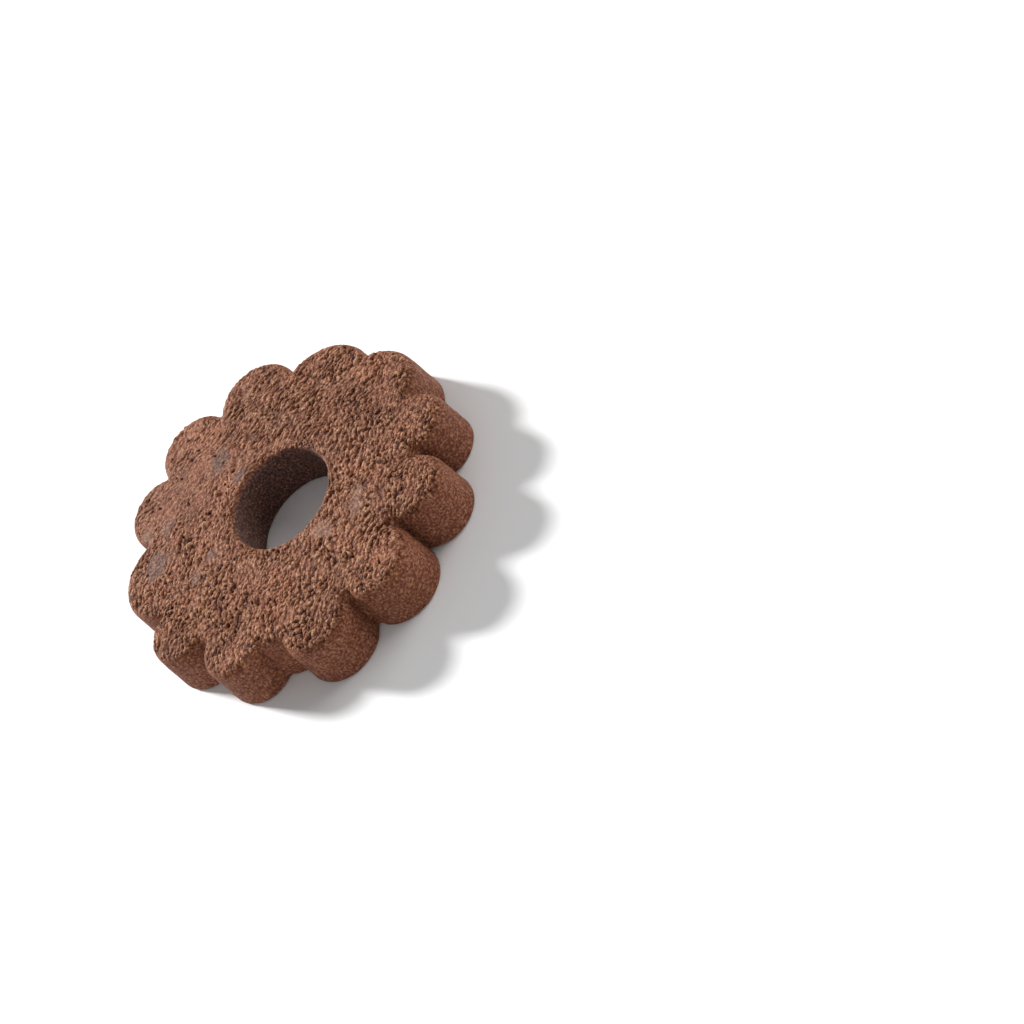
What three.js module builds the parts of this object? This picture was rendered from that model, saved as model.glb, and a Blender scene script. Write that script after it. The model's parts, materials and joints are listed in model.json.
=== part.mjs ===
// Chocolate ring cookie lying flat: twelve rounded petals around a round hole.
// Units are millimetres, +Z is up, the underside is the plane z = 0, and angles
// are in degrees, counter-clockwise from +X as seen from above.
import * as THREE from "three";

// ---- overall form -------------------------------------------------------
const THICKNESS = 7.5;            // underside to the general level of the top face
const WALL_DRAFT = 0.4;           // the wall leans in by this much on its way up
const TOP_SHOULDER = 1.25;        // soft rounding between wall and top face
const SOFTER_SHOULDER = 0.6;      // how much wider that rounding is on the softest side
const SOFTEST_SIDE = 300;         // direction in which the shoulder is widest
const BASE_EDGE = 0.45;           // small rounding where the wall meets the underside
const HOLE_RADIUS = 7.2;          // narrowest width of the hole, halfway up
const HOLE_CENTRE = [0.35, 0.5];  // the hole was cut a little off the middle
const HOLE_FLARE = 0.05;          // the hole opens by this much toward the top
const HOLE_SHOULDER = 0.85;       // rounding of the top edge of the hole
const NOTCH_FILLET = 1.5;         // how softly two neighbouring petals flow together
const WEB_DROP = 0.3;             // the dough between petals starts this far inside the notches

// ---- outline at the base: notches, and petals that bulge out between them ----
const NOTCH_ANGLE = [-15, 16, 48, 80, 109, 136, 170, 196, 228, 260, 290.5, 319];
const NOTCH_REACH = [21.9, 22.6, 21.4, 22.0, 22.9, 22.2, 21.9, 21.2, 21.9, 21.3, 20.6, 21.0];
// each petal: first foot, tip and last foot in degrees, then the reach of its tip
const PETALS = [
  [-15, -4, 16, 24.5],
  [16, 28, 48, 24.1],
  [48, 63, 80, 25.2],
  [80, 94, 109, 26.1],
  [109, 121, 136, 25.7],
  [136, 155, 170, 25.3],
  [170, 184, 196, 25.4],
  [197, 211.5, 223, 25.0],        // the narrowest petal, with a wide notch beside it
  [231.5, 245, 260, 25.6],
  [260, 275, 290.5, 25.5],
  [290.5, 303, 319, 25.3],
  [319, 330, 345, 25.0],
];

// ---- relief of the top face ---------------------------------------------
const LUMP_SIZE = 2.1;            // width of one coarse lump
const LUMP_LENGTH = 1.5;          // how much longer than wide the lumps are, along their row
const LUMP_HEIGHT = 0.23;         // of the rows of lumps, up or down from the level face
const GRIT_SIZE = 1.5;            // smaller lumps between the rows
const GRIT_HEIGHT = 0.16;
const ROW_SWAY = 0.5;             // how far a row wanders to the side
const ROW_SWAY_LENGTH = 5;
const ROWS_NEAR = 49;             // direction of the rows on the softest side
const ROWS_FAR = 15;              // and on the far side
const ROWS_BLEND = 8;             // half width of the band where one direction turns to the other
const SWELL_SIZE = 10;            // slow waviness of the whole face
const SWELL_HEIGHT = 0.1;
const DISH_DEPTH = 0.12;          // the face sinks very slightly around the hole
const DISH_WIDTH = 4;
const WALL_WAVE = 0.12;           // faint unevenness of the cut wall
const WALL_WAVES = 44;            // how many such waves run round the cookie
const WALL_WAVE_HEIGHT = 4;
const CRACK_WIDTH = 0.65;         // half width of the deeper cracks
const CRACK_DEPTH = 0.45;
const CRACKS = [                  // both ends of each crack, x and y
  [[-3.2, -11.6], [-1.4, -9.6]],
  [[2.2, -13.2], [4.3, -11.9]],
  [[-11.9, -9.8], [-10.0, -8.4]],
  [[-13.6, -14.2], [-12.3, -11.8]],
  [[13.2, -4.2], [15.4, -3.3]],
  [[-1.0, -17.6], [0.6, -16.1]],
  [[7.2, 13.0], [9.4, 13.6]],
  [[-13.4, 8.6], [-11.6, 10.2]],
  [[16.2, 7.4], [17.5, 9.1]],
];

// ---- mesh density -------------------------------------------------------
const SEGMENTS = 168;
const TOP_RINGS = 16;
const INNER_RINGS = 20.5;         // radius that the rings near the hole aim for
const STEP = 1e-4;                // every coordinate is a whole number of these

const DEG = Math.PI / 180;
const sin = (degrees) => Math.sin(degrees * DEG);
const cos = (degrees) => Math.cos(degrees * DEG);
const smooth = (t) => t * t * (3 - 2 * t);
const mix = (a, b, t) => a * (1 - t) + b * t;

// ---- outline ------------------------------------------------------------

// Circle through three points, as [centre x, centre y, radius].
function circleThrough([ax, ay], [bx, by], [cx, cy]) {
  const d = 2 * (ax * (by - cy) + bx * (cy - ay) + cx * (ay - by));
  const a = ax * ax + ay * ay, b = bx * bx + by * by, c = cx * cx + cy * cy;
  const x = (a * (by - cy) + b * (cy - ay) + c * (ay - by)) / d;
  const y = (a * (cx - bx) + b * (ax - cx) + c * (bx - ax)) / d;
  return [x, y, Math.hypot(ax - x, ay - y)];
}

// Reach of the dough between the petals, flowing from notch to notch.
function webReach(theta) {
  const first = NOTCH_ANGLE[0];
  const angle = ((theta - first) % 360 + 360) % 360 + first;
  const i = NOTCH_ANGLE.findLastIndex((notch) => notch <= angle);
  const next = (i + 1) % NOTCH_ANGLE.length;
  const end = next ? NOTCH_ANGLE[next] : first + 360;
  return mix(NOTCH_REACH[i], NOTCH_REACH[next],
    smooth((angle - NOTCH_ANGLE[i]) / (end - NOTCH_ANGLE[i])));
}

const onRay = (theta, r) => [r * cos(theta), r * sin(theta)];
const PETAL_CIRCLES = PETALS.map(([from, tip, to, tipReach]) => circleThrough(
  onRay(from, webReach(from)), onRay(tip, tipReach), onRay(to, webReach(to))));

function softMin(a, b, k) {
  const h = Math.max(k - Math.abs(a - b), 0) / k;
  return Math.min(a, b) - h * h * k / 4;
}

// Signed distance to the outline at the base, negative inside the dough.
function outlineDistance([x, y]) {
  let d = Math.hypot(x, y) - webReach(Math.atan2(y, x) / DEG) + WEB_DROP;
  for (const [cx, cy, r] of PETAL_CIRCLES) {
    d = softMin(d, Math.hypot(x - cx, y - cy) - r, NOTCH_FILLET);
  }
  return d;
}

// How far the dough reaches in one direction, `inset` inside the outline.
function reach(theta, inset) {
  let low = HOLE_RADIUS, high = 2 * INNER_RINGS;
  for (let halving = 0; halving < 40; halving++) {
    const middle = (low + high) / 2;
    if (outlineDistance(onRay(theta, middle)) > -inset) high = middle;
    else low = middle;
  }
  return low;
}

// Distance from the axis to the edge of the hole, which is a little off the axis.
function holeReach(theta, radius) {
  const [hx, hy] = HOLE_CENTRE;
  const along = hx * cos(theta) + hy * sin(theta);
  const across = hx * sin(theta) - hy * cos(theta);
  return along + Math.sqrt(radius * radius - across * across);
}

// ---- relief -------------------------------------------------------------

// Repeatable gradient noise, about -1 to 1, with one lump or hollow per unit.
function slope(i, j, seed, dx, dy) {
  let h = (i * 374761393 + j * 668265263 + seed * 974711) | 0;
  h = Math.imul(h ^ (h >>> 13), 1274126177);
  h ^= h >>> 16;
  const turn = (h >>> 0) / 2 ** 32 * 360;
  return cos(turn) * dx + sin(turn) * dy;
}
function noise(x, y, seed) {
  const i = Math.floor(x), j = Math.floor(y);
  const u = x - i, v = y - j;
  const low = mix(slope(i, j, seed, u, v), slope(i + 1, j, seed, u - 1, v), smooth(u));
  const high = mix(slope(i, j + 1, seed, u, v - 1), slope(i + 1, j + 1, seed, u - 1, v - 1), smooth(u));
  return 1.6 * mix(low, high, smooth(v));
}

// Lumps in wavy rows that run in one direction.
function rows(x, y, direction, seed) {
  const along = x * cos(direction) + y * sin(direction);
  const across = -x * sin(direction) + y * cos(direction);
  const sway = ROW_SWAY * noise(along / ROW_SWAY_LENGTH, across / ROW_SWAY_LENGTH, seed + 1);
  return noise(along / (LUMP_SIZE * LUMP_LENGTH), (across + sway) / LUMP_SIZE, seed);
}

// 0 in a crack, 1 away from it.
function pastCrack(x, y, [[ax, ay], [bx, by]]) {
  const dx = bx - ax, dy = by - ay;
  const t = ((x - ax) * dx + (y - ay) * dy) / (dx * dx + dy * dy);
  const nearest = Math.min(1, Math.max(0, t));
  const d = Math.hypot(x - ax - nearest * dx, y - ay - nearest * dy) / CRACK_WIDTH;
  return 1 - Math.exp(-d * d);
}

// Height of the crags above the general level of the top face.
function crags(x, y) {
  const near = 0.5 + 0.5 * Math.tanh((x - y) / ROWS_BLEND);
  let height = LUMP_HEIGHT * mix(rows(x, y, ROWS_FAR, 3), rows(x, y, ROWS_NEAR, 30), near);
  height += GRIT_HEIGHT * noise(x / GRIT_SIZE, y / GRIT_SIZE, 5);
  height += SWELL_HEIGHT * noise(x / SWELL_SIZE + 0.4, y / SWELL_SIZE + 0.7, 8);
  for (const crack of CRACKS) height -= CRACK_DEPTH * (1 - pastCrack(x, y, crack));
  return height - DISH_DEPTH * Math.exp((HOLE_RADIUS - Math.hypot(x, y)) / DISH_WIDTH);
}

// ---- cross-section in one direction -------------------------------------
// Each kind of stop gives its distance from the axis, its height, and how much
// of the crags it takes. An angle of 0 is on a wall, and 90 on a level face.

// The shoulder is softest on one side and tightest on the opposite one.
function shoulderSize(theta) {
  return TOP_SHOULDER + SOFTER_SHOULDER * (0.5 + 0.5 * cos(theta - SOFTEST_SIDE)) ** 3;
}
const roundUp = (angle) => 1 - cos(angle);      // how far a rounding has turned in
const roundDown = (angle) => 1 - sin(angle);    // how far it lies below the level face

const baseEdge = (angle) => (theta) => ({
  r: reach(theta, BASE_EDGE * roundUp(angle)), z: BASE_EDGE * roundDown(angle), crag: 0,
});
const wall = (part) => (theta) => {
  const z = mix(BASE_EDGE, THICKNESS - shoulderSize(theta), part);
  const [across, along] = onRay(theta, WALL_WAVES / (2 * Math.PI));
  const wave = noise(across + z / WALL_WAVE_HEIGHT, along, 21);
  return { r: reach(theta, WALL_DRAFT * part) + WALL_WAVE * part * wave, z, crag: 0 };
};
const shoulder = (angle) => (theta) => ({
  r: reach(theta, WALL_DRAFT + shoulderSize(theta) * roundUp(angle)),
  z: THICKNESS - shoulderSize(theta) * roundDown(angle), crag: sin(angle) ** 4,
});
// rings on the face are round near the hole and take up the petals toward the edge
const faceRing = (part) => (theta) => {
  const outer = mix(INNER_RINGS, reach(theta, WALL_DRAFT + shoulderSize(theta)), part);
  return { r: mix(holeReach(theta, HOLE_RADIUS + HOLE_FLARE + HOLE_SHOULDER), outer, part),
    z: THICKNESS, crag: 1 };
};
const holeShoulder = (angle) => (theta) => ({
  r: holeReach(theta, HOLE_RADIUS + HOLE_FLARE + HOLE_SHOULDER * roundUp(angle)),
  z: THICKNESS - HOLE_SHOULDER * roundDown(angle), crag: sin(angle) ** 4,
});
const holeWaist = (theta) => ({ r: holeReach(theta, HOLE_RADIUS), z: THICKNESS / 2, crag: 0 });
const holeBase = (angle) => (theta) => ({
  r: holeReach(theta, HOLE_RADIUS + BASE_EDGE * roundUp(angle)),
  z: BASE_EDGE * roundDown(angle), crag: 0,
});

const ringParts = Array.from({ length: TOP_RINGS }, (_, i) => 1 - (i + 1) / (TOP_RINGS + 1));
const section = [
  ...[90, 45, 0].map(baseEdge),
  ...[1 / 3, 2 / 3].map(wall),
  ...[0, 22, 44, 66, 90].map(shoulder),
  ...ringParts.map(faceRing),
  ...[90, 58, 28, 0].map(holeShoulder),
  holeWaist,
  ...[0, 45, 90].map(holeBase),
];

// ---- solid --------------------------------------------------------------
// The section of one direction is turned into a plain ring and closed on
// itself. Then every vertex moves to the section of its own direction.
function cookieGeometry() {
  const profile = [...section, section[0]].map((stop) => {
    const { r, z } = stop(0);
    return new THREE.Vector2(r, z);
  });
  const geometry = new THREE.LatheGeometry(profile, SEGMENTS);
  geometry.rotateX(Math.PI / 2);
  const position = geometry.attributes.position;
  const whole = (value) => Math.round(value / STEP) * STEP;
  for (let v = 0; v < position.count; v++) {
    const stop = section[v % profile.length % section.length];
    const theta = Math.floor(v / profile.length) % SEGMENTS / SEGMENTS * 360 - 90;
    const { r, z, crag } = stop(theta);
    const [x, y] = onRay(theta, r);
    const height = crag ? z + crag * crags(x, y) : z;
    position.setXYZ(v, whole(x), whole(y), whole(height));
  }
  // the middle of the underside of the whole cookie comes to the origin
  geometry.computeBoundingBox();
  const { min, max } = geometry.boundingBox;
  geometry.translate(-(min.x + max.x) / 2, -(min.y + max.y) / 2, -min.z);
  geometry.computeVertexNormals();
  return geometry;
}

const baked = new THREE.MeshStandardMaterial({ color: 0x6e4838, roughness: 0.9, metalness: 0 });
const cookie = new THREE.Mesh(cookieGeometry(), baked);
cookie.name = "cookie";

const part = new THREE.Group();
part.add(cookie);
export default part;
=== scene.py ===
# %% [markdown]
# # A chocolate ring cookie
# A cocoa shortcrust ring is stamped from rolled dough with a twelve-petalled
# cutter, and baked flat. The cut walls stay smooth and dense, and the top dries
# out and crazes into small crumbly lumps. The construction model gives its
# place and size, and this file models the ring again with its fine crust.

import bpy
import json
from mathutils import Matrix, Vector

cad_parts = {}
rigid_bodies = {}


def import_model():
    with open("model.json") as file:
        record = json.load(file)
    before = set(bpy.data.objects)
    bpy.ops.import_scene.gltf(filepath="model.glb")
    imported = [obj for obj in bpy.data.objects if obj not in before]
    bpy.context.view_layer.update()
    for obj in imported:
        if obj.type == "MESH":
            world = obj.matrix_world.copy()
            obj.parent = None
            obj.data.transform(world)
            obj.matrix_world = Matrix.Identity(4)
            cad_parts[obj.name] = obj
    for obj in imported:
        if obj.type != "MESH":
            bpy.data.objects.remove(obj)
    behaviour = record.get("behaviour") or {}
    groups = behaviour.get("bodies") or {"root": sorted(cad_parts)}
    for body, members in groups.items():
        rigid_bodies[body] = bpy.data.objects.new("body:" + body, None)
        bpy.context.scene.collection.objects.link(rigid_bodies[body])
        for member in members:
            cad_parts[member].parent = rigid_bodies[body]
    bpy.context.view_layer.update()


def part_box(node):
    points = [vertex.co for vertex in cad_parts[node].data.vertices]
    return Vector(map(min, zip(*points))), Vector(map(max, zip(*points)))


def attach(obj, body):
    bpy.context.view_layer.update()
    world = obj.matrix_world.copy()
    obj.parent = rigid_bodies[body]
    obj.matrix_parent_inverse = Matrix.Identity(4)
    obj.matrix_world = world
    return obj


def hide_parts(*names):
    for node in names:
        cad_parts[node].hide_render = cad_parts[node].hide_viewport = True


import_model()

# %% [markdown]
# Blender works in metres, and a cookie is measured in millimetres. The ring's
# sizes are millimetres times MM, and the patterns in the node trees are made in
# plain millimetres. Everything is deselected before a new piece is added,
# because an operator acts on all that is selected.

# %% Units and small helpers
import json
import math

import bmesh
import bpy
import numpy as np
from mathutils import Matrix, Vector

MM = 0.001


def only(piece):
    """Selects one object alone and makes it the active one."""
    bpy.ops.object.select_all(action="DESELECT")
    piece.select_set(True)
    bpy.context.view_layer.objects.active = piece


def apply_modifier(piece, kind, **settings):
    """Adds a modifier, sets it up and applies it, as one does by hand."""
    only(piece)
    modifier = piece.modifiers.new(kind.title(), kind)
    for name, value in settings.items():
        setattr(modifier, name, value)
    bpy.ops.object.modifier_apply(modifier=modifier.name)


def measure(piece, step):
    """Prints a mesh's faces, its volume, and how many of its edges aren't closed."""
    mesh = bmesh.new()
    mesh.from_mesh(piece.data)
    open_edges = sum(not edge.is_manifold for edge in mesh.edges)
    volume = mesh.calc_volume() / MM ** 3
    print(f"{step}: {len(mesh.faces)} faces, {volume:.0f} mm3, {open_edges} open edges")
    mesh.free()


def on_ray(degrees, reach):
    """The point at that direction and distance, as seen from above."""
    angle = math.radians(degrees)
    return Vector((reach * math.cos(angle), reach * math.sin(angle), 0))


# %% [markdown]
# ## Camera
# In the photograph the ring is tilted, so its face is turned to the lens and
# stands askew in the picture. Here it lies flat. The same view is found by
# walking the camera round it: it looks down at about 43 degrees and is rolled
# by almost 48. A long lens keeps the ring from bulging.

# %% Camera
LENS = 100                        # millimetres, for a sensor 36 mm wide
CAMERA_AZIMUTH = -3.9             # degrees round the ring; 0 looks along +Y
CAMERA_ELEVATION = 43.46
CAMERA_ROLL = -47.6               # degrees, clockwise as the photographer sees it
CAMERA_DISTANCE = 345.4 * MM      # to the spot in the middle of the picture
PICTURE_MIDDLE = Vector((17.27, -26.5, 0)) * MM

bpy.ops.object.select_all(action="DESELECT")
bpy.ops.object.camera_add()
camera = bpy.context.object
camera.name = "camera"
camera.data.lens = LENS
camera.data.clip_start = 10 * MM
camera.data.clip_end = 10
turn = (Matrix.Rotation(math.radians(CAMERA_AZIMUTH), 4, "Z")
        @ Matrix.Rotation(math.radians(90 - CAMERA_ELEVATION), 4, "X"))
away = turn @ Vector((0, 0, CAMERA_DISTANCE))
camera.matrix_world = (Matrix.Translation(PICTURE_MIDDLE + away) @ turn
                       @ Matrix.Rotation(math.radians(CAMERA_ROLL), 4, "Z"))
bpy.context.scene.camera = camera
print("camera at", camera.matrix_world.translation)

# %% [markdown]
# ## The stamped outline
# Twelve petals bulge from a disc of dough, no two quite alike. Each petal is a
# short cone, because the cutter's wall leans in a little. Its circle is found
# from the two notches at its feet and from how far its tip reaches. One circle
# array would be quicker, but then every petal would be the same.

# %% Driving sizes of the ring
low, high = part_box("cookie")
THICKNESS = 7.5 * MM              # to the general level of the top
WALL_DRAFT = 0.4 * MM
WEB_DROP = 0.3 * MM               # the disc stays this far inside the notches
# direction in degrees and distance in millimetres of each notch
NOTCHES = [(-15, 21.9), (16, 22.6), (48, 21.4), (80, 22.0), (109, 22.9), (136, 22.2),
           (170, 21.9), (196, 21.2), (228, 21.9), (260, 21.3), (290.5, 20.6), (319, 21.0)]
# first foot, tip and last foot in degrees, and the reach of the tip in millimetres
PETALS = [(-15, -4, 16, 24.5), (16, 28, 48, 24.1), (48, 63, 80, 25.2), (80, 94, 109, 26.1),
          (109, 121, 136, 25.7), (136, 155, 170, 25.3), (170, 184, 196, 25.4),
          (197, 211.5, 223, 25.0), (231.5, 245, 260, 25.6), (260, 275, 290.5, 25.5),
          (290.5, 303, 319, 25.3), (319, 330, 345, 25.0)]


def web_reach(degrees):
    """How far the dough between the petals reaches in one direction."""
    angles = [angle for angle, _ in NOTCHES] + [NOTCHES[0][0] + 360]
    reaches = [reach for _, reach in NOTCHES] + [NOTCHES[0][1]]
    angle = (degrees - angles[0]) % 360 + angles[0]
    i = max(k for k in range(len(NOTCHES)) if angles[k] <= angle)
    t = (angle - angles[i]) / (angles[i + 1] - angles[i])
    return (reaches[i] + (reaches[i + 1] - reaches[i]) * t * t * (3 - 2 * t)) * MM


def petal_circle(first, tip, last, tip_reach):
    """Centre and radius of the circle through a petal's two feet and its tip."""
    foot = on_ray(first, web_reach(first))
    to_tip = on_ray(tip, tip_reach * MM) - foot
    to_last = on_ray(last, web_reach(last)) - foot
    normal = to_tip.cross(to_last)
    to_centre = (normal.cross(to_tip) * to_last.length_squared
                 + to_last.cross(normal) * to_tip.length_squared)
    to_centre /= 2 * normal.length_squared
    return foot + to_centre, to_centre.length


print(len(PETALS), "petals between", low, "and", high)

# %% Disc of dough with its corners dragged to the web between the petals
DISC_CORNERS = 120
DISC_RADIUS = 20 * MM             # before its corners are dragged

bpy.ops.object.select_all(action="DESELECT")
bpy.ops.mesh.primitive_cone_add(vertices=DISC_CORNERS, radius1=DISC_RADIUS,
                                radius2=DISC_RADIUS - WALL_DRAFT, depth=THICKNESS,
                                location=(0, 0, THICKNESS / 2))
cookie = bpy.context.object
cookie.name = cookie.data.name = "ring_cookie"
bpy.ops.object.transform_apply(location=True, rotation=True, scale=True)
for vertex in cookie.data.vertices:
    direction = math.degrees(math.atan2(vertex.co.y, vertex.co.x))
    lean = WALL_DRAFT if vertex.co.z > THICKNESS / 2 else 0
    x, y, _ = on_ray(direction, web_reach(direction) - WEB_DROP - lean)
    vertex.co = (x, y, vertex.co.z)
print("disc:", cookie.dimensions)

# %% Petals
PETAL_SIDES = 96

petals = bpy.data.collections.new("petals")
bpy.context.scene.collection.children.link(petals)
for row in PETALS:
    centre, radius = petal_circle(*row)
    bpy.ops.object.select_all(action="DESELECT")
    bpy.ops.mesh.primitive_cone_add(vertices=PETAL_SIDES, radius1=radius, radius2=radius - WALL_DRAFT,
                                    depth=THICKNESS, location=centre + Vector((0, 0, THICKNESS / 2)))
    petal = bpy.context.object
    for collection in petal.users_collection:
        collection.objects.unlink(petal)
    petals.objects.link(petal)
    print(f"petal at {row[1]} degrees: radius {radius / MM:.2f} mm")
apply_modifier(cookie, "BOOLEAN", operation="UNION", operand_type="COLLECTION", collection=petals,
               solver="EXACT")
measure(cookie, "union")
for petal in list(petals.objects):
    bpy.data.objects.remove(petal)
bpy.data.collections.remove(petals)

# %% [markdown]
# The union leaves lines across the top and the underside, where the petals met
# the disc. They are selected by the way their faces point and dissolved, so that
# only the rims are left to be rounded.

# %% Clean the top and the underside
FACES_LEVEL = 0.99                # the part of a face's normal that points up or down
SAME_CORNER = 0.005 * MM


def edit(piece, mode, chosen):
    """Opens edit mode with only the vertices, edges or faces selected that chosen() picks."""
    only(piece)
    bpy.ops.object.mode_set(mode="EDIT")
    bpy.ops.mesh.select_mode(type=mode)
    bpy.ops.mesh.select_all(action="DESELECT")
    bpy.ops.object.mode_set(mode="OBJECT")
    elements = {"VERT": piece.data.vertices, "EDGE": piece.data.edges, "FACE": piece.data.polygons}[mode]
    for element in elements:
        element.select = bool(chosen(element))
    bpy.ops.object.mode_set(mode="EDIT")


for side in (1, -1):
    edit(cookie, "FACE", lambda face: face.normal.z * side > FACES_LEVEL)
    bpy.ops.mesh.dissolve_faces()
    bpy.ops.object.mode_set(mode="OBJECT")
edit(cookie, "VERT", lambda vertex: True)
bpy.ops.mesh.remove_doubles(threshold=SAME_CORNER)
bpy.ops.object.mode_set(mode="OBJECT")
measure(cookie, "stamped outline")

# %% [markdown]
# ## Soft edges
# The dough slumps a little in the oven: the rim of the top is rounded by more
# than a millimetre, most on the side that faces the camera, and the edge under
# the ring hardly at all. A Bevel modifier reads a weight on every rim edge, so
# one modifier rounds all of them by their own amount.

# %% Rounded rims
SHOULDER = 1.25 * MM
SOFTER_SHOULDER = 0.6 * MM        # how much wider it is on the softest side
SOFTEST_SIDE = 300                # degrees
BASE_EDGE = 0.45 * MM
HOLE_SHOULDER = 0.85 * MM
BEVEL_STEPS = 7
SAME_LEVEL = 0.01 * MM
OUTER_SHARE = 0.9                 # of the web's reach; rim edges lie farther out than this


def round_edges(piece, width_of):
    """Bevels every edge for whose two ends width_of() gives a width."""
    widest = SHOULDER + SOFTER_SHOULDER
    weights = piece.data.attributes.new("bevel_weight_edge", "FLOAT", "EDGE")
    points = [vertex.co.copy() for vertex in piece.data.vertices]
    chosen = 0
    for edge in piece.data.edges:
        a, b = (points[i] for i in edge.vertices)
        width = width_of(a, b)
        weights.data[edge.index].value = width / widest
        chosen += width > 0
    apply_modifier(piece, "BEVEL", width=widest, segments=BEVEL_STEPS, limit_method="WEIGHT",
                   use_clamp_overlap=False)
    left = piece.data.attributes.get("bevel_weight_edge")
    if left:
        piece.data.attributes.remove(left)
    measure(piece, f"rounded {chosen} edges")


def outer_width(a, b):
    """How far to round an edge of the outer rims, or 0."""
    if abs(a.z - b.z) > SAME_LEVEL:
        return 0
    middle = (a + b) / 2
    direction = math.degrees(math.atan2(middle.y, middle.x))
    outside = middle.to_2d().length > OUTER_SHARE * web_reach(direction)
    if middle.z < SAME_LEVEL:
        return BASE_EDGE * outside
    toward = math.radians(direction - SOFTEST_SIDE)
    return (SHOULDER + SOFTER_SHOULDER * (0.5 + 0.5 * math.cos(toward)) ** 3) * outside


round_edges(cookie, outer_width)

# %% [markdown]
# ## The hole
# A round cutter went through a little off the middle. Its wall stands almost
# upright. A Boolean cuts it once the outer rims are rounded, so that its own
# rims can be told from them and get a smaller bevel.

# %% Hole
HOLE_RADIUS = 7.2 * MM
HOLE_FLARE = 0.05 * MM
HOLE_CENTRE = Vector((0.35, 0.5, 0)) * MM
HOLE_SIDES = 128
ON_HOLE = 0.1 * MM                # its rims' points are this near to its radius

bpy.ops.object.select_all(action="DESELECT")
bpy.ops.mesh.primitive_cone_add(vertices=HOLE_SIDES, radius1=HOLE_RADIUS - HOLE_FLARE,
                                radius2=HOLE_RADIUS + HOLE_FLARE, depth=2 * THICKNESS,
                                location=HOLE_CENTRE + Vector((0, 0, THICKNESS / 2)))
cutter = bpy.context.object
apply_modifier(cookie, "BOOLEAN", operation="DIFFERENCE", object=cutter, solver="EXACT")
bpy.data.objects.remove(cutter)
measure(cookie, "hole cut")


def hole_width(a, b):
    """How far to round an edge of the hole's rims, or 0."""
    level = abs(a.z - b.z) < SAME_LEVEL
    on_hole = all(abs((p - HOLE_CENTRE).to_2d().length - HOLE_RADIUS) < ON_HOLE for p in (a, b))
    if not (level and on_hole):
        return 0
    return BASE_EDGE if a.z < SAME_LEVEL else HOLE_SHOULDER


round_edges(cookie, hole_width)

# %% [markdown]
# ## An even skin to work on
# The relief needs small faces of one size all over. A voxel Remesh gives them,
# and a few rounds of smoothing take its little steps away. The notches get more
# rounds, through a vertex group, because neighbouring petals flow together.

# %% Remesh and smooth
VOXEL = 0.125 * MM
NOTCH_SOFTNESS = 1.3 * MM
NOTCH_ROUNDS = 80
SKIN_ROUNDS = 6
WEIGHT_STEPS = 10                 # the group's weights are rounded to tenths
WIDE_NOTCH = 228                  # degrees; its petals stand apart, so it has two feet
WIDE_NOTCH_FEET = (223, 231.5)


def skin_points():
    """Every point of the skin, as rows of x, y and z in metres."""
    values = np.empty(len(cookie.data.vertices) * 3)
    cookie.data.vertices.foreach_get("co", values)
    return values.reshape(-1, 3)


apply_modifier(cookie, "REMESH", mode="VOXEL", voxel_size=VOXEL, use_smooth_shade=True)
notches = cookie.vertex_groups.new(name="notches")
points = skin_points()
notch_points = [on_ray(angle, reach * MM) for angle, reach in NOTCHES if angle != WIDE_NOTCH]
notch_points += [on_ray(angle, web_reach(angle)) for angle in WIDE_NOTCH_FEET]
nearest = np.min([np.hypot(points[:, 0] - p.x, points[:, 1] - p.y) for p in notch_points], axis=0)
weights = np.exp(-(nearest / NOTCH_SOFTNESS) ** 2)
weights[points[:, 2] > THICKNESS - SHOULDER / 2] = 0
for step in range(1, WEIGHT_STEPS + 1):
    inside = np.flatnonzero(np.round(weights * WEIGHT_STEPS) == step)
    notches.add(inside.tolist(), step / WEIGHT_STEPS, "REPLACE")
apply_modifier(cookie, "SMOOTH", factor=0.5, iterations=NOTCH_ROUNDS, vertex_group="notches")
apply_modifier(cookie, "SMOOTH", factor=0.5, iterations=SKIN_ROUNDS)
cookie.vertex_groups.clear()

# %% [markdown]
# The petals and the disc were measured from a point near the middle of the hole,
# and the widest petals aren't opposite each other. So the ring is now moved to
# the middle of the construction model's box, and its underside to the floor.

# %% Move to the frame's middle
points = skin_points()
shift = (low + high - Vector(points.min(axis=0)) - Vector(points.max(axis=0))) / 2
shift.z = -points[:, 2].min()
cookie.data.transform(Matrix.Translation(shift))
measure(cookie, "even skin")
print("moved to the frame's middle by", shift / MM, "mm")

# %% [markdown]
# ## Smooth spots and stuck crumbs
# A few spots of the top didn't craze: some are greyer, where a piece of
# chocolate lies flush in the dough, and some are only smooth. Three crumbs stick
# up on the calm far side, each with a small pit beside it. All are painted on
# the skin as attributes, as one would paint a weight by hand, because the relief
# and the colour both need them.

# %% Spots and crumbs
# middle x and y, half length, half width, direction in degrees, and 1 for a chocolate spot
SPOTS = [(-0.7, 13.7, 1.9, 1.25, 30, 1), (-0.5, 8.9, 1.3, 0.8, 20, 1),
         (-16.1, 9.9, 2.2, 1.6, 40, 0.8), (-10.5, 3.1, 1.0, 0.8, 0, 0.7),
         (-13.9, 2.6, 1.1, 0.8, 50, 0.6), (-11.6, 13.3, 1.5, 1.0, 40, 0.6),
         (6.5, -11.7, 2.4, 0.9, 40, 0.3), (1.0, -10.2, 1.7, 1.2, 110, 0.3),
         (-14.5, 15.5, 1.4, 1.0, 30, 0.2)]
SPOT_EDGE = 0.09                  # how softly a spot ends, as a share of its size
CRUMBS = [(-4.1, 10.2, 0.42), (-8.1, 8.0, 0.48), (-11.4, 7.5, 0.5)]     # x, y and radius
CRUMB_HEIGHT = 0.4                # millimetres
PIT_BESIDE = (0.35, 0.75)         # from the crumb's middle to its pit's
PIT_SHARE = 0.8                   # its depth, as a share of the crumb's height
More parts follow.
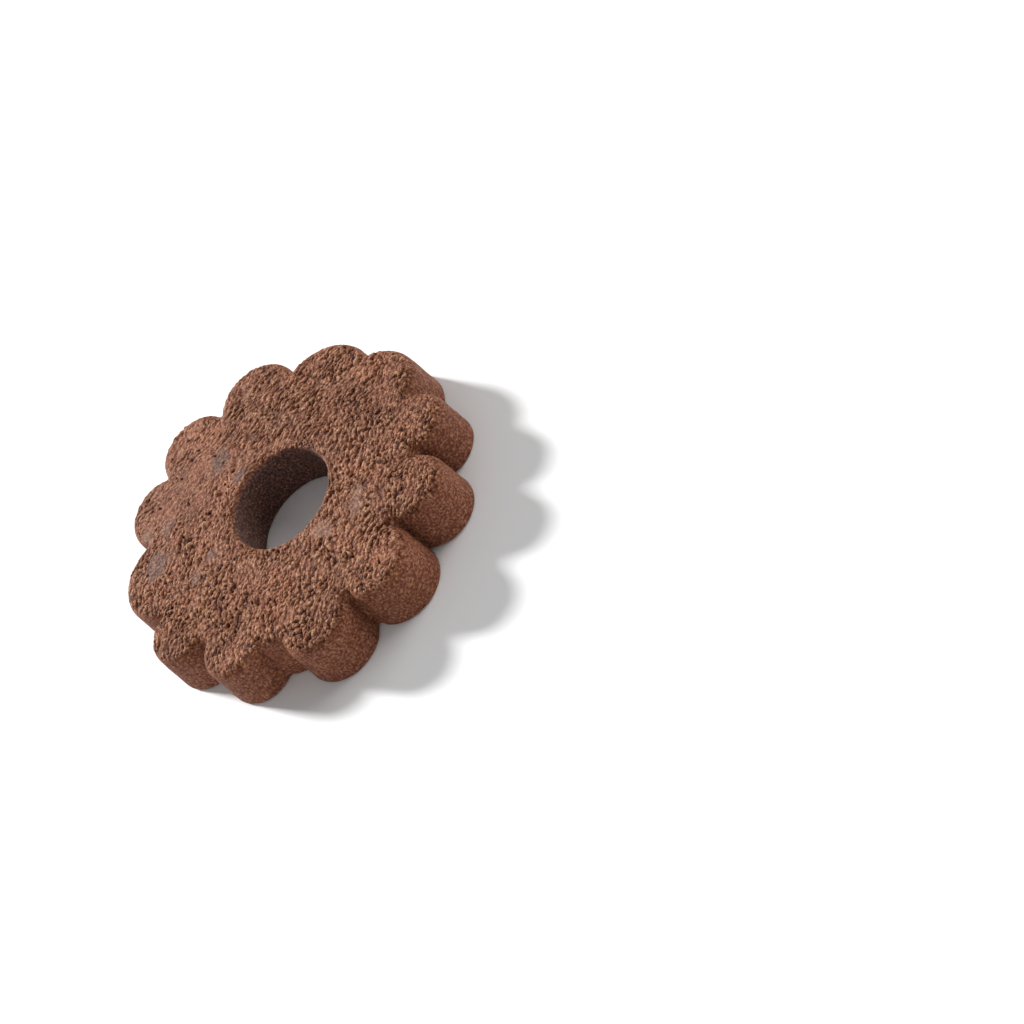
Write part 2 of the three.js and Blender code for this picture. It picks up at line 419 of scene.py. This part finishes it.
PIT_WIDTH = 0.7                   # its radius, as a share of the crumb's

x, y, _ = skin_points().T / MM
spot, tint, lift = np.zeros(len(x)), np.zeros(len(x)), np.zeros(len(x))
# each spot is an oval whose edge two slanting waves make a little ragged
for middle_x, middle_y, half_length, half_width, direction, chocolate in SPOTS:
    c, s = math.cos(math.radians(direction)), math.sin(math.radians(direction))
    along = ((x - middle_x) * c + (y - middle_y) * s) / half_length
    across = ((y - middle_y) * c - (x - middle_x) * s) / half_width
    ragged = 0.12 * np.sin(3.1 * along + 4.3 * across) + 0.1 * np.sin(5.7 * across - 2.2 * along)
    inside = 1 / (1 + np.exp((np.hypot(along, across) + ragged - 1) / SPOT_EDGE))
    spot = np.maximum(spot, inside)
    tint = np.maximum(tint, inside * chocolate)
for middle_x, middle_y, radius in CRUMBS:
    lift += CRUMB_HEIGHT * np.exp(-(np.hypot(x - middle_x, y - middle_y) / radius) ** 4)
    from_pit = np.hypot(x - middle_x - PIT_BESIDE[0], y - middle_y - PIT_BESIDE[1])
    lift -= PIT_SHARE * CRUMB_HEIGHT * np.exp(-(from_pit / (PIT_WIDTH * radius)) ** 2)
for name, values in (("spot", spot), ("chocolate", tint), ("lift", lift)):
    painted = cookie.data.attributes.new(name, "FLOAT", "POINT")
    painted.data.foreach_set("value", values.astype(np.float32))
print("spots cover", round(float((spot > 0.5).mean() * 100), 1), "% of the skin")

# %% [markdown]
# ## The crust's pattern
# The top dried into crumbly lumps about half a millimetre wide, in wavy rows,
# with narrow dark gaps, and every lump is made of small nodules. Sculpting them
# would take thousands of strokes, so nodes make the pattern, as functions that
# are used twice: a geometry node tree moves the skin by it, and the material
# paints shade into its gaps. So the painted shade always fits the relief.

# %% A helper that adds a node
MATH, VECTOR = "ShaderNodeMath", "ShaderNodeVectorMath"
MIX, RANGE = "ShaderNodeMix", "ShaderNodeMapRange"
NOISE, CELLS, SPLIT = "ShaderNodeTexNoise", "ShaderNodeTexVoronoi", "ShaderNodeSeparateXYZ"


def add(tree, kind, inputs=(), out=0, **settings):
    """Adds a node with its settings and links, and gives one of its outputs. Sockets go by
    name, or by number where names repeat: a Mix node mixes the numbers in 2 and 3, or the
    colours in 6 and 7, by the share in 0, and gives the mixed colour in output 2."""
    node = tree.nodes.new(kind)
    for name, value in settings.items():
        setattr(node, name, value)
    for socket, value in inputs.items() if isinstance(inputs, dict) else enumerate(inputs):
        if isinstance(value, bpy.types.NodeSocket):
            tree.links.new(value, node.inputs[socket])
        else:
            node.inputs[socket].default_value = value
    return node.outputs[out]


# %% Bent places and round lumps
SHORTEST_LUMP = 0.55              # of the tallest lump's height
LUMP_STEEPNESS = 1.7              # how fast a lump falls away from its middle


def bent(tree, place, size, depth, detail=1.0):
    """A place pushed about by noise, so that a pattern made on it isn't straight."""
    push = add(tree, NOISE, {"Vector": place, "Scale": 1 / size, "Detail": detail}, "Color")
    push = add(tree, VECTOR, [push, (0.5, 0.5, 0.5)], operation="SUBTRACT")
    return add(tree, VECTOR, [push, (depth, depth, depth), place], operation="MULTIPLY_ADD")


def lumps(tree, place, size, length):
    """Round lumps of uneven height: 0 in the gaps between them, and up to 1 on a lump."""
    place = add(tree, VECTOR, [place, (1 / (size * length), 1 / size, 1 / size)], operation="MULTIPLY")
    middle = add(tree, CELLS, {"Vector": place, "Scale": 1.0})
    tall = add(tree, CELLS, {"Vector": place, "Scale": 1.0}, "Color")
    tall = add(tree, MATH, [add(tree, SPLIT, [tall]), 1 - SHORTEST_LUMP, SHORTEST_LUMP],
               operation="MULTIPLY_ADD")
    squared = add(tree, MATH, [middle, middle], operation="MULTIPLY")
    dome = add(tree, MATH, [squared, -LUMP_STEEPNESS, 1.0], operation="MULTIPLY_ADD", use_clamp=True)
    return add(tree, MATH, [tall, dome], operation="MULTIPLY")


# %% [markdown]
# The rows run one way on the far side of the ring and another on the near side,
# and turn along a ragged line between. Two patterns, one turned for each side,
# are mixed there. Clods, which are groups of lumps, have deeper gaps between.

# %% Lumps in wavy rows, and clods of them
ROWS_FAR = 8                      # degrees, direction of the rows on the far side
ROWS_NEAR = 48                    # and on the near side
LONG_WAVE = (5.0, 2.4)            # millimetres, size and depth of the rows' waves
SHORT_WAVE = (0.8, 0.42)
LUMP_SIZE = 0.44
LUMP_LENGTH = 1.65                # how much longer than wide a lump is
CLOD_SIZE = 1.6
CLOD_SLENDER = 0.6                # its width as a share of its length
CLOD_GAP = 0.13                   # gap between clods, as a share of their size
TO_NEAR_SIDE = (-0.4, -0.9, 0.0)
BORDER = (0.5, 3.0)               # millimetres, where the rows start and end to turn
BORDER_WAVE_SIZE = 3.0
BORDER_WAVE = 16.0


def wavy_place(tree, place):
    """A place bent in long waves, for the rows, and in short ones, for the lumps."""
    return bent(tree, bent(tree, place, *LONG_WAVE), *SHORT_WAVE, 2.0)


def rows_of_lumps(tree, place, wavy):
    """The lumps, and the clods that they form. Each is 0 in its gaps and up to 1 between."""
    across = add(tree, VECTOR, [place, TO_NEAR_SIDE], "Value", operation="DOT_PRODUCT")
    border = add(tree, NOISE, {"Vector": place, "Scale": 1 / BORDER_WAVE_SIZE})
    border = add(tree, MATH, [border, BORDER_WAVE, across], operation="MULTIPLY_ADD")
    near = add(tree, RANGE, [border, *BORDER], interpolation_type="SMOOTHSTEP")
    far_rows, near_rows = (
        add(tree, "ShaderNodeVectorRotate", {"Vector": wavy, "Angle": -math.radians(direction)},
            rotation_type="Z_AXIS") for direction in (ROWS_FAR, ROWS_NEAR))
    lump = add(tree, MIX, {0: near, 2: lumps(tree, far_rows, LUMP_SIZE, LUMP_LENGTH),
                           3: lumps(tree, near_rows, LUMP_SIZE, LUMP_LENGTH)})
    clod = add(tree, VECTOR, [near_rows, (CLOD_SLENDER / CLOD_SIZE, 1 / CLOD_SIZE, 1 / CLOD_SIZE)],
               operation="MULTIPLY")
    clod = add(tree, CELLS, {"Vector": clod, "Scale": 1.0}, feature="DISTANCE_TO_EDGE")
    clod = add(tree, RANGE, [clod, 0.0, CLOD_GAP], interpolation_type="SMOOTHSTEP")
    return lump, clod


print("a lump is about", LUMP_SIZE, "by", round(LUMP_SIZE * LUMP_LENGTH, 2), "mm")

# %% [markdown]
# The crust isn't equally rough all over. The far side stayed calm, with only
# small pits, there are calmer patches elsewhere, and the smooth spots have next
# to no relief. One number from 0 to 1, a share of the full relief, says it all.

# %% Where the crust is rough, and pits
CALM_MIDDLE = (-6.0, 15.5, 7.5)   # millimetres
CALM_REACH = (3.0, 14.0)          # from there, where the relief starts to grow and is full
CALM_SHARE = 0.35                 # share of the relief that is left
PATCH_SIZE = 3.5                  # millimetres
PATCH_NOISE = (0.4, 0.58)         # noise below the first makes a calm patch
PATCH_SHARE = 0.55
SPOT_SHARE = 0.1
PIT_SPACING = 1.1                 # millimetres
PIT_EDGES = (0.28, 0.06)          # share of the spacing, from a pit's rim to its floor
PIT_DEPTH = 0.24
PIT_CHANCE = (0.45, 0.7)          # a cell below the first has no pit, above the second a full one


def roughness(tree, place, spot):
    """The share of its full relief that the crust has at a place."""
    from_calm = add(tree, VECTOR, [place, CALM_MIDDLE], "Value", operation="DISTANCE")
    rough = add(tree, RANGE, [from_calm, *CALM_REACH, CALM_SHARE, 1.0])
    patchy = add(tree, NOISE, {"Vector": place, "Scale": 1 / PATCH_SIZE, "Detail": 1.0})
    patchy = add(tree, RANGE, [patchy, *PATCH_NOISE, PATCH_SHARE, 1.0])
    rough = add(tree, MATH, [rough, patchy], operation="MULTIPLY")
    crazed = add(tree, RANGE, [spot, 0.0, 1.0, 1.0, SPOT_SHARE])
    return add(tree, MATH, [rough, crazed], operation="MULTIPLY")


def pits(tree, wavy):
    """The depth of small scattered pits in millimetres."""
    depth = add(tree, CELLS, {"Vector": wavy, "Scale": 1 / PIT_SPACING})
    depth = add(tree, RANGE, [depth, *PIT_EDGES, 0.0, PIT_DEPTH], interpolation_type="SMOOTHSTEP")
    chance = add(tree, CELLS, {"Vector": wavy, "Scale": 1 / PIT_SPACING}, "Color")
    chance = add(tree, RANGE, [add(tree, SPLIT, [chance]), *PIT_CHANCE])
    return add(tree, MATH, [depth, chance], operation="MULTIPLY")


# %% [markdown]
# The heights of lumps and clods are added up, and the share of the relief
# multiplies them. Nodules are kept apart, because they also go into the bump of
# the material. Painted shade goes where a lump is low or a pit is deep.

# %% The whole crust
LUMP_HEIGHT = 0.37                # millimetres, like the next ones
CLOD_HEIGHT = 0.08
UNEVEN_SIZE = 2.0                 # slow change of level among the lumps
UNEVEN_HEIGHT = 0.24
CRUST_LEVEL = -0.38               # sets the gaps below the smooth skin
NODULE_SIZE = 0.24
NODULE_HEIGHT = 0.1
NODULE_WAVE = (0.4, 0.25)
# The next two paint shade: where it starts and is full in a gap, and how dark a pit is painted.
GAP_SHADE_EDGES = (0.3, 0.04)           # share of a lump's height where a gap starts and is full
PIT_SHADE = 3.0                # per millimetre of a pit's depth


def crust(tree, place, spot):
    """The crust at a place in millimetres: the height of its lumps and of the nodules on
    them in millimetres, and how much painted shade it gets in a gap or a pit."""
    wavy = wavy_place(tree, place)
    lump, clod = rows_of_lumps(tree, place, wavy)
    rough = roughness(tree, place, spot)
    pit = pits(tree, wavy)
    height = add(tree, NOISE, {"Vector": place, "Scale": 1 / UNEVEN_SIZE, "Detail": 1.0})
    height = add(tree, MATH, [height, UNEVEN_HEIGHT, CRUST_LEVEL], operation="MULTIPLY_ADD")
    height = add(tree, MATH, [lump, LUMP_HEIGHT, height], operation="MULTIPLY_ADD")
    height = add(tree, MATH, [clod, CLOD_HEIGHT, height], operation="MULTIPLY_ADD")
    height = add(tree, MATH, [height, rough], operation="MULTIPLY")
    height = add(tree, MATH, [height, pit], operation="SUBTRACT")
    fine = lumps(tree, bent(tree, place, *NODULE_WAVE), NODULE_SIZE, 1.0)
    fine = add(tree, MATH, [fine, rough], operation="MULTIPLY")
    fine = add(tree, MATH, [fine, NODULE_HEIGHT], operation="MULTIPLY")
    # painted shade in the gaps between lumps and in the pits
    gap_shade = add(tree, RANGE, [lump, *GAP_SHADE_EDGES], interpolation_type="SMOOTHSTEP")
    gap_shade = add(tree, MATH, [gap_shade, rough], operation="MULTIPLY")
    gap_shade = add(tree, MATH, [pit, PIT_SHADE, gap_shade], operation="MULTIPLY_ADD", use_clamp=True)
    return height, fine, gap_shade


print("a lump is up to", LUMP_HEIGHT, "mm high")

# %% [markdown]
# ## Cracks
# Drying dough pulls apart here and there. Each crack is the distance to a short
# line, bent by noise so that it winds between the lumps. Cutting grooves with a
# thin body is quicker, but it leaves straight slots.

# %% Cracks
CRACK_WIDTH = 0.19                # millimetres, half of it at the top
CRACK_DEPTH = 0.35
CRACK_WAVE = (0.8, 0.9)
FAR_AWAY = 9.0                    # farther than a crack is wide, to start the search for the nearest
FROM_ABOVE = (1, 1, 0)            # a place times this keeps only x and y
# x and y of both ends of each crack
CRACKS = [((-2.8, -11.8), (-1.0, -9.8)), ((2.6, -13.4), (4.7, -12.1)),
          ((-11.5, -10.0), (-9.6, -8.6)), ((-13.2, -14.4), (-11.9, -12.0)),
          ((13.6, -4.4), (15.8, -3.5)), ((-0.6, -17.8), (1.0, -16.3)),
          ((7.6, 12.8), (9.8, 13.4)), ((-13.0, 8.4), (-11.2, 10.0)),
          ((16.6, 7.2), (17.9, 8.9))]


def cracked(tree, place):
    """1 in a crack, 0 away from all of them."""
    winding = bent(tree, place, *CRACK_WAVE, 2.0)
    winding = add(tree, VECTOR, [winding, FROM_ABOVE], operation="MULTIPLY")
    nearest = FAR_AWAY
    for start, end in CRACKS:
        line = Vector(end + (0,)) - Vector(start + (0,))
        from_start = add(tree, VECTOR, [winding, start + (0,)], operation="SUBTRACT")
        share = add(tree, VECTOR, [from_start, line / line.length_squared], "Value",
                    operation="DOT_PRODUCT")
        share = add(tree, RANGE, [share])
        on_line = add(tree, VECTOR, {0: line, 3: share}, operation="SCALE")
        reach = add(tree, VECTOR, [from_start, on_line], "Value", operation="DISTANCE")
        nearest = add(tree, MATH, [reach, nearest], operation="MINIMUM")
    return add(tree, RANGE, [nearest, CRACK_WIDTH, 0.0], interpolation_type="SMOOTHSTEP")


print(len(CRACKS), "cracks")

# %% [markdown]
# ## Move the skin
# The crust belongs to the top. Masks read from the smooth skin's own normals let
# it run out over the shoulder before the cut wall. The walls only waver a
# little, and the underside, which baked on a tray, is flat with small pores that
# only go inward.

# %% Masks for the top, the walls and the underside
# how far the skin faces up, from 1 when level through 0 on a wall to -1 underneath, where
# each mask starts and where it is full
TOP_TILT = (0.25, 0.85)           # the colour of the face
RAISED_TILT = (0.4, 0.98)         # and its relief
SIDE_TILT = (0.5, 0.1)            # up or down alike
UNDER_TILT = (-0.9, -0.99)

tree = bpy.data.node_groups.new("crust relief", "GeometryNodeTree")
for way in ("INPUT", "OUTPUT"):
    tree.interface.new_socket("Geometry", in_out=way, socket_type="NodeSocketGeometry")
shape = add(tree, "NodeGroupInput")
normal = add(tree, "GeometryNodeInputNormal")
place = add(tree, VECTOR, {0: add(tree, "GeometryNodeInputPosition"), 3: 1 / MM}, operation="SCALE")
upward = add(tree, SPLIT, [normal], "Z")
top = add(tree, RANGE, [upward, *TOP_TILT], interpolation_type="SMOOTHSTEP")
raised = add(tree, RANGE, [upward, *RAISED_TILT], interpolation_type="SMOOTHSTEP")
side = add(tree, RANGE, [add(tree, MATH, [upward], operation="ABSOLUTE"), *SIDE_TILT])
under = add(tree, RANGE, [upward, *UNDER_TILT])
print("masks:", len(tree.nodes), "nodes")

# %% Heights of the relief, added up
SWELL = 0.1                       # millimetres, slow waviness of the top
SWELL_SIZE = 10.0
WALL_WAVER = 0.09
WAVER_SIZE = 3.5
PORE_SPACING = 1.7                # pores of the underside
PORE_DEPTH = 0.16
PORE_WAVE = (1.5, 0.8)
PORE_EDGES = (0.3, 0.1)           # share of the spacing, from a pore's rim to its floor
NOISE_REACH = (0.2, 0.8)          # noise hardly leaves these limits

spot, lift = (add(tree, "GeometryNodeInputNamedAttribute", {"Name": name}, "Attribute")
              for name in ("spot", "lift"))
height, fine, _ = crust(tree, place, spot)
height = add(tree, MATH, [height, fine], operation="ADD")
height = add(tree, MATH, [cracked(tree, place), -CRACK_DEPTH, height], operation="MULTIPLY_ADD")
height = add(tree, MATH, [height, lift], operation="ADD")
swell = add(tree, NOISE, {"Vector": place, "Scale": 1 / SWELL_SIZE, "Detail": 0.0})
swell = add(tree, RANGE, [swell, *NOISE_REACH, -SWELL, SWELL])
height = add(tree, MATH, [height, swell], operation="ADD")
waver = add(tree, NOISE, {"Vector": place, "Scale": 1 / WAVER_SIZE, "Detail": 2.0})
waver = add(tree, RANGE, [waver, *NOISE_REACH, -WALL_WAVER, WALL_WAVER])
waver = add(tree, MATH, [waver, side], operation="MULTIPLY")
height = add(tree, MATH, [height, raised, waver], operation="MULTIPLY_ADD")
pore = add(tree, CELLS, {"Vector": bent(tree, place, *PORE_WAVE), "Scale": 1 / PORE_SPACING})
pore = add(tree, RANGE, [pore, *PORE_EDGES, 0.0, -PORE_DEPTH], interpolation_type="SMOOTHSTEP")
height = add(tree, MATH, [pore, under, height], operation="MULTIPLY_ADD")
print("relief:", len(tree.nodes), "nodes")

# %% [markdown]
# The place of every point before it moves is kept as an attribute, because the
# material makes the same pattern from it. On the moved skin the pattern would
# slip a little against the relief.

# %% Keep what the material needs, and move the skin
for name, value, kind in (("top", top, "FLOAT"), ("raised", raised, "FLOAT"),
                          ("dough_place", place, "FLOAT_VECTOR")):
    shape = add(tree, "GeometryNodeStoreNamedAttribute",
                {"Geometry": shape, "Name": name, "Value": value}, data_type=kind, domain="POINT")
in_metres = add(tree, MATH, [height, MM], operation="MULTIPLY")
offset = add(tree, VECTOR, {0: normal, 3: in_metres}, operation="SCALE")
shape = add(tree, "GeometryNodeSetPosition", {"Geometry": shape, "Offset": offset})
tree.links.new(shape, tree.nodes.new("NodeGroupOutput").inputs[0])
apply_modifier(cookie, "NODES", node_group=tree)
bpy.data.node_groups.remove(tree)
measure(cookie, "crust raised")

# %% [markdown]
# The crust needs its small faces, and the underside and the walls don't. A
# Decimate modifier merges faces where that changes the shape least, until the
# ring is light enough. It then stands in for the construction model's cookie.

# %% Thin the mesh where it is smooth
MOST_TRIANGLES = 194000

triangles = sum(len(face.vertices) - 2 for face in cookie.data.polygons)
apply_modifier(cookie, "DECIMATE", ratio=MOST_TRIANGLES / triangles)
bpy.ops.object.shade_smooth()
measure(cookie, "thinned")
print("attributes kept:", [a.name for a in cookie.data.attributes if not a.name.startswith(".")])
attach(cookie, "root")
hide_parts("cookie")

# %% [markdown]
# ## Baked cocoa dough
# Cocoa, flour, butter and sugar bake to a matt brown with hardly any shine.
# Colours are written as sRGB hex values, as a colour picker shows them, and one
# function turns them into the linear numbers that a shader needs.

# %% Colours, and what the material reads from the skin
def hex_colour(code):
    """The linear colour of an sRGB hex value."""
    parts = [int(code[i:i + 2], 16) / 255 for i in (0, 2, 4)]
    linear = [p / 12.92 if p <= 0.04045 else ((p + 0.055) / 1.055) ** 2.4 for p in parts]
    return (*linear, 1.0)


dough = bpy.data.materials.new("baked cocoa shortcrust")
dough.use_nodes = True
tree = dough.node_tree
tree.nodes.clear()
top, raised, spot, chocolate, lift = (
    add(tree, "ShaderNodeAttribute", out="Fac", attribute_name=name)
    for name in ("top", "raised", "spot", "chocolate", "lift"))
place = add(tree, "ShaderNodeAttribute", out="Vector", attribute_name="dough_place")
height, fine, gap_shade = crust(tree, place, spot)
print("pattern:", len(tree.nodes), "nodes")

# %% [markdown]
# The crust is light on the crests, where it dried most, and its gaps and pits are darkened with painted
# shade.
# Chocolate spots are greyer and smoother than the dough. Each of these is laid
# over the last, like a thin coat of paint, by its own share.

# %% Colour of the face
DOUGH_DARK, DOUGH_LIGHT = "6c3f28", "86533a"
# the gap colour is painted shade, laid into the gaps and the pits
CREST, GAP_SHADE, SMOOTH_SPOT, CHOCOLATE = "b78c6c", "361307", "8d6d5b", "563c34"
CLOUD_SIZE = 6.0                  # millimetres, slow change of the dough's colour
CLOUD_NOISE = (0.35, 0.65)        # noise below the first is dark, above the second light
CREST_LEVELS = (0.0, 0.22)        # millimetres, where the lighter crests start and are full
CRUMB_CREST = 0.5                 # share of a stuck crumb's height that counts as crest
MOST_CREST = 0.8                  # the most that each coat covers
MOST_GAP_SHADE = 0.9
MOST_SMOOTH = 0.6
MOST_CHOCOLATE = 0.85

cloud = add(tree, NOISE, {"Vector": place, "Scale": 1 / CLOUD_SIZE, "Detail": 3.0})
cloud = add(tree, RANGE, [cloud, *CLOUD_NOISE])
face = add(tree, MIX, {0: cloud, 6: hex_colour(DOUGH_DARK), 7: hex_colour(DOUGH_LIGHT)}, 2,
           data_type="RGBA")
level = add(tree, MATH, [height, fine], operation="ADD")
level = add(tree, MATH, [lift, CRUMB_CREST, level], operation="MULTIPLY_ADD")
crest = add(tree, RANGE, [level, *CREST_LEVELS, 0.0, MOST_CREST])
crest = add(tree, MATH, [crest, raised], operation="MULTIPLY")
# painted shade in the gaps and pits
painted_gap_shade = add(tree, MATH, [gap_shade, MOST_GAP_SHADE], operation="MULTIPLY")
painted_gap_shade = add(tree, MATH, [painted_gap_shade, raised], operation="MULTIPLY")
smooth = add(tree, MATH, [spot, chocolate], operation="SUBTRACT")
smooth = add(tree, MATH, [smooth, MOST_SMOOTH], operation="MULTIPLY")
flush = add(tree, MATH, [chocolate, MOST_CHOCOLATE], operation="MULTIPLY")
for share, paint in ((crest, CREST), (painted_gap_shade, GAP_SHADE), (smooth, SMOOTH_SPOT), (flush, CHOCOLATE)):
    face = add(tree, MIX, {0: share, 6: face, 7: hex_colour(paint)}, 2, data_type="RGBA")
print("with the face:", len(tree.nodes), "nodes")

# %% [markdown]
# The cut walls are smoother and more even than the face, and the wall of the
# hole gets painted shade, darker and greyer than the petals' walls. One mask then
# lays the face over the walls.

# %% Colour of the walls
# the hole wall's colour is painted shade
WALL_DARK, WALL_LIGHT, HOLE_WALL_SHADE = "6f4331", "8c583f", "5d433c"
MOST_LIGHT = 0.3
HOLE_SHADE_REACH = (8.6, 7.8)      # millimetres from its middle, where its colour starts and is full

light_share = add(tree, MATH, [cloud, MOST_LIGHT], operation="MULTIPLY")
wall = add(tree, MIX, {0: light_share, 6: hex_colour(WALL_DARK), 7: hex_colour(WALL_LIGHT)}, 2,
           data_type="RGBA")
hole_middle = (HOLE_CENTRE + shift) / MM * Vector(FROM_ABOVE)
from_hole = add(tree, VECTOR, [place, FROM_ABOVE], operation="MULTIPLY")
from_hole = add(tree, VECTOR, [from_hole, hole_middle], "Value", operation="DISTANCE")
# painted shade on the wall of the hole
hole_shade = add(tree, RANGE, [from_hole, *HOLE_SHADE_REACH])
wall = add(tree, MIX, {0: hole_shade, 6: wall, 7: hex_colour(HOLE_WALL_SHADE)}, 2, data_type="RGBA")
colour = add(tree, MIX, {0: top, 6: wall, 7: face}, 2, data_type="RGBA")
print("with the walls:", len(tree.nodes), "nodes")

# %% [markdown]
# Grains of flour and cocoa show as fine sand, and grains of sugar as paler
# specks, which show best on the smooth walls. The sand changes the colour
# through a Gamma node, because a darker grain is also richer in colour, and a
# lighter one paler, and plain darkening doesn't do that.

# %% Sand and specks
SAND_SIZE = 0.32                  # millimetres, drawn a little coarser than real so that it shows
SAND_NOISE = (0.35, 0.65)
SAND_GAMMA = (1.35, 0.74)         # above 1 darkens and enriches, below 1 lightens
SPECK, MOST_SPECK = "cc9062", 0.6
SPECK_SPACING = 0.36              # millimetres, coarser than real too
SPECK_WAVE = (0.5, 0.25)
SPECK_EDGES = (0.42, 0.12)        # share of the spacing, from a speck's edge to its full colour
SPECK_CHANCE = (0.45, 0.95)       # a cell below the first has no speck, above the second a full one

sand = add(tree, NOISE, {"Vector": place, "Scale": 1 / SAND_SIZE, "Detail": 4.0})
sand = add(tree, RANGE, [sand, *SAND_NOISE, *SAND_GAMMA])
colour = add(tree, "ShaderNodeGamma", [colour, sand])
scattered = bent(tree, place, *SPECK_WAVE)
speck = add(tree, CELLS, {"Vector": scattered, "Scale": 1 / SPECK_SPACING})
speck = add(tree, RANGE, [speck, *SPECK_EDGES, 0.0, MOST_SPECK])
chance = add(tree, CELLS, {"Vector": scattered, "Scale": 1 / SPECK_SPACING}, "Color")
chance = add(tree, RANGE, [add(tree, SPLIT, [chance]), *SPECK_CHANCE])
speck = add(tree, MATH, [speck, chance], operation="MULTIPLY")
colour = add(tree, MIX, {0: speck, 6: colour, 7: hex_colour(SPECK)}, 2, data_type="RGBA")
print("with sand and specks:", len(tree.nodes), "nodes")

# %% [markdown]
# The mesh holds the lumps, and a Bump node adds what its faces are too large
# for: the nodules, the lumps' own edges, and fine grit all over.

# %% Fine bumps, and the shader
GRIT_SIZE = 0.22                  # millimetres, like the next one
GRIT_HEIGHT = 0.1
LUMP_BUMP = 0.5                   # share of the lumps' height that the bump repeats
ROUGHNESS = 0.7
SHINE = 0.17                      # dry crumb hardly shines; 0.5 would be plain plastic

grit = add(tree, NOISE, {"Vector": place, "Scale": 1 / GRIT_SIZE, "Detail": 3.0})
rise = add(tree, MATH, [height, LUMP_BUMP, fine], operation="MULTIPLY_ADD")
rise = add(tree, MATH, [rise, raised], operation="MULTIPLY")
rise = add(tree, MATH, [grit, GRIT_HEIGHT, rise], operation="MULTIPLY_ADD")
bump = add(tree, "ShaderNodeBump", {"Height": rise, "Distance": MM, "Strength": 1.0})
shader = add(tree, "ShaderNodeBsdfPrincipled", {"Base Color": colour, "Normal": bump,
                                                "Roughness": ROUGHNESS, "Specular IOR Level": SHINE})
output = tree.nodes.new("ShaderNodeOutputMaterial")
tree.links.new(shader, output.inputs[0])
cookie.data.materials.clear()
cookie.data.materials.append(dough)
print("material:", len(tree.nodes), "nodes")

# %% [markdown]
# ## Floor
# A pale matt table. It isn't attached to the cookie's body, so it isn't a piece of the cookie.

# %% Floor
FLOOR_SIZE = 3                    # metres
PAPER = "f0f0f0"

bpy.ops.object.select_all(action="DESELECT")
bpy.ops.mesh.primitive_plane_add(size=FLOOR_SIZE)
floor = bpy.context.object
floor.name = "floor"
paper = bpy.data.materials.new("pale matt paper")
paper.use_nodes = True
paper_shader = paper.node_tree.nodes["Principled BSDF"]
paper_shader.inputs["Base Color"].default_value = hex_colour(PAPER)
paper_shader.inputs["Roughness"].default_value = 0.9
floor.data.materials.append(paper)
print("floor:", floor.dimensions)

# %% [markdown]
# ## Light
# A soft key light low at the picture's upper left rakes over the crust, a
# fainter and softer one at the upper right edges the petals there, and a faint
# one below opens up the near walls. The surround is an even white. A light's
# direction is given as steps to the picture's left, up and toward the lens,
# because it is in the picture that one sees where the light falls.

# %% Lights and surround
# name, direction, energy, and the angle in degrees that its disc fills
LIGHTS = [("key", (0.93, 0.33, -0.3), 6.5, 10), ("rim", (-0.55, 1.0, 0.2), 2.3, 50),
          ("fill", (-0.1, -0.7, 0.7), 0.95, 60)]
SURROUND = 0.3

for name, (left, up, near), energy, angle in LIGHTS:
    bpy.ops.object.select_all(action="DESELECT")
    bpy.ops.object.light_add(type="SUN")
    light = bpy.context.object
    light.name = name
    light.data.energy = energy
    light.data.angle = math.radians(angle)
    toward = camera.matrix_world.to_3x3() @ Vector((-left, up, near))
    light.rotation_mode = "QUATERNION"
    light.rotation_quaternion = toward.to_track_quat("Z", "Y")
    print(name, "shines from", toward.normalized())

world = bpy.data.worlds.new("white surround")
bpy.context.scene.world = world
world.use_nodes = True
background = world.node_tree.nodes["Background"]
background.inputs["Color"].default_value = (1, 1, 1, 1)
background.inputs["Strength"].default_value = SURROUND
bpy.context.scene.view_settings.view_transform = "Standard"
